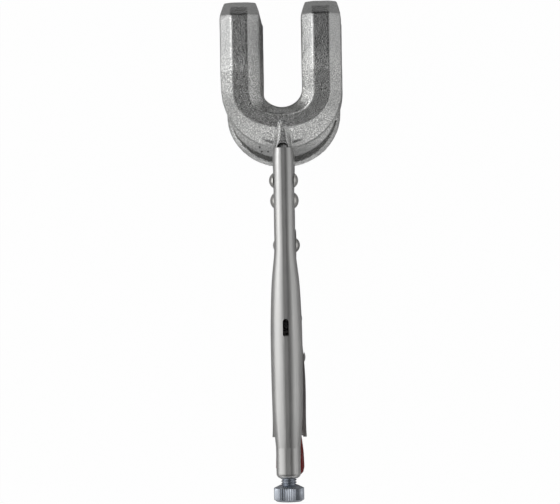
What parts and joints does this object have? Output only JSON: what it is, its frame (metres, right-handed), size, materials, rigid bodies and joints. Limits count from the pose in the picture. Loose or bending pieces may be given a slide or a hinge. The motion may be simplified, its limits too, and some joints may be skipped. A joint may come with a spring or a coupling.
{
  "type": "locking pliers with U-shaped jaws",
  "caption": "Locking pliers with two U-shaped forged jaws, over-centre toggle link, knurled adjusting screw and release lever.",
  "frame": {"origin": "on the plane the tool stands on, midway along its length and width", "axes": "+Y towards the jaw tips, +Z from the lower handle to the fixed handle, +X to the right seen from behind the knob"},
  "size_m": [0.0604, 0.2508, 0.056],
  "materials": {
    "handle": "satin nickel plate over pressed sheet, fine lengthwise grain",
    "forging": "nickel-plated drop forging, grainy blasted skin",
    "rivet": "plated rivet, bright domed heads",
    "zinc": "bluish bright zinc plate",
    "link": "plated steel, dull",
    "lever": "red dipped coating over pressed steel",
    "spring": "drawn spring wire"
  },
  "bodies": {
    "handle_frame": {"fixed_handle": "handle", "end_nut": "handle", "upper_jaw": "forging", "upper_jaw_rivet": "rivet", "jaw_pivot_rivet": "rivet", "tension_spring": "spring"},
    "moving_jaw": {"lower_jaw": "forging"},
    "hand_lever": {"lower_handle": "handle", "handle_rivet": "rivet", "link_rivet": "rivet", "lever_pin": "rivet"},
    "toggle": {"toggle_link": "link"},
    "release": {"release_lever": "lever"},
    "screw": {"adjusting_screw": "zinc", "screw_knob": "zinc"}
  },
  "joints": [
    {"name": "jaw_opening", "type": "hinge", "parent": "handle_frame", "child": "moving_jaw", "pos_m": [0, 0.0261, 0.031], "axis": [-1, 0, 0], "range_deg": [0, 24], "deforming": ["tension_spring"]},
    {"name": "handle_fold", "type": "hinge", "parent": "moving_jaw", "child": "hand_lever", "pos_m": [0, 0.0036, 0.01], "axis": [1, 0, 0], "range_deg": [0, 62.5]},
    {"name": "link_fold", "type": "hinge", "parent": "hand_lever", "child": "toggle", "pos_m": [0, -0.0339, 0.0245], "axis": [-1, 0, 0], "range_deg": [0, 64.5]},
    {"name": "lever_release", "type": "hinge", "parent": "hand_lever", "child": "release", "pos_m": [0, -0.0539, 0.013], "axis": [1, 0, 0], "range_deg": [0, 6]},
    {"name": "screw_travel", "type": "slide", "parent": "handle_frame", "child": "screw", "axis": [0, -1, 0], "range_m": [0, 0.016]}
  ],
  "couplings": [
    {"joint": "handle_fold", "follows": "jaw_opening", "ratio": 2.6042},
    {"joint": "link_fold", "follows": "jaw_opening", "ratio": 2.6875}
  ]
}
